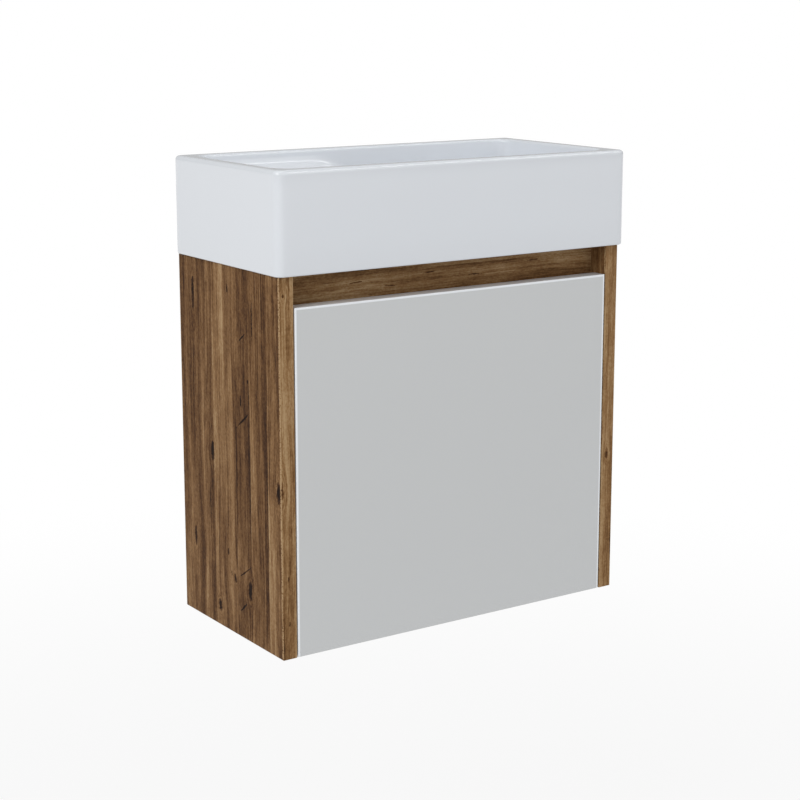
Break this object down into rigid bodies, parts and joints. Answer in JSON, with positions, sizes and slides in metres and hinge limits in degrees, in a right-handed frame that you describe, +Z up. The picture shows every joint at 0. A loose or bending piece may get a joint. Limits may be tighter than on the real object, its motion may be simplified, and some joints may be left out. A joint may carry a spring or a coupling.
{
  "type": "vanity unit with basin",
  "caption": "Narrow wall-hung bathroom vanity: oak-look cabinet with a recessed-grip hinged door and a rectangular ceramic basin with a raised tap deck.",
  "frame": {"origin": "middle of the wall rail's foot, on the wall plane, 350 mm above the cabinet's bottom edge", "axes": "+X to the right along the front, +Y into the wall, +Z up; the door faces -Y"},
  "size_m": [0.45, 0.2215, 0.5068],
  "materials": {
    "oak_decor_board": "rustic oak decor, matt, vertical grain",
    "oak_decor_edge": "rustic oak decor edging, matt",
    "white_ceramic": "white glaze, glossy",
    "gloss_front": "pale grey high-gloss lacquer on board",
    "white_sealant": "white sealant",
    "clear_bumper": "translucent grey pad",
    "nickel_steel": "nickel-plated pressed steel",
    "zinc_steel": "bright zinc-plated steel",
    "housing_plastic": "moulded grey-white plastic",
    "cover_plastic": "moulded grey-white plastic"
  },
  "bodies": {
    "cabinet": {"back_rail_lower": "oak_decor_board", "back_rail_upper": "oak_decor_board", "basin": "white_ceramic", "basin_seal": "white_sealant", "bottom_panel": "oak_decor_board", "door_bumpers": "clear_bumper", "edge_band_left": "oak_decor_edge", "edge_band_right": "oak_decor_edge", "front_rail": "oak_decor_board", "hanger_cover_left": "cover_plastic", "hanger_cover_right": "cover_plastic", "hanger_hook_left": "zinc_steel", "hanger_hook_right": "zinc_steel", "hanger_housing_left": "housing_plastic", "hanger_housing_right": "housing_plastic", "hanging_rail": "zinc_steel", "hinge_arm_pair": "nickel_steel", "hinge_plate_pair": "nickel_steel", "shelf": "oak_decor_board", "shelf_pins": "zinc_steel", "side_panel_left": "oak_decor_board", "side_panel_right": "oak_decor_board"},
    "door": {"door_panel": "gloss_front", "hinge_cup_pair": "nickel_steel"},
    "hinge_levers": {"hinge_lever_pair": "nickel_steel"},
    "hinge_links": {"hinge_link_pair": "nickel_steel"}
  },
  "joints": [
    {"name": "door_swing", "type": "hinge", "parent": "cabinet", "child": "door", "pos_m": [0.2032, -0.217, 0], "axis": [0, 0, 1], "range_deg": [0, 100]},
    {"name": "lever_swing", "type": "hinge", "parent": "cabinet", "child": "hinge_levers", "pos_m": [0.18, -0.19, 0], "axis": [0, 0, 1], "range_deg": [0, 100]},
    {"name": "link_swing", "type": "hinge", "parent": "door", "child": "hinge_links", "pos_m": [0.176, -0.204, 0], "axis": [0, 0, 1], "range_deg": [-100, 0]}
  ],
  "couplings": [
    {"joint": "lever_swing", "follows": "door_swing", "ratio": 1},
    {"joint": "link_swing", "follows": "door_swing", "ratio": -1}
  ]
}
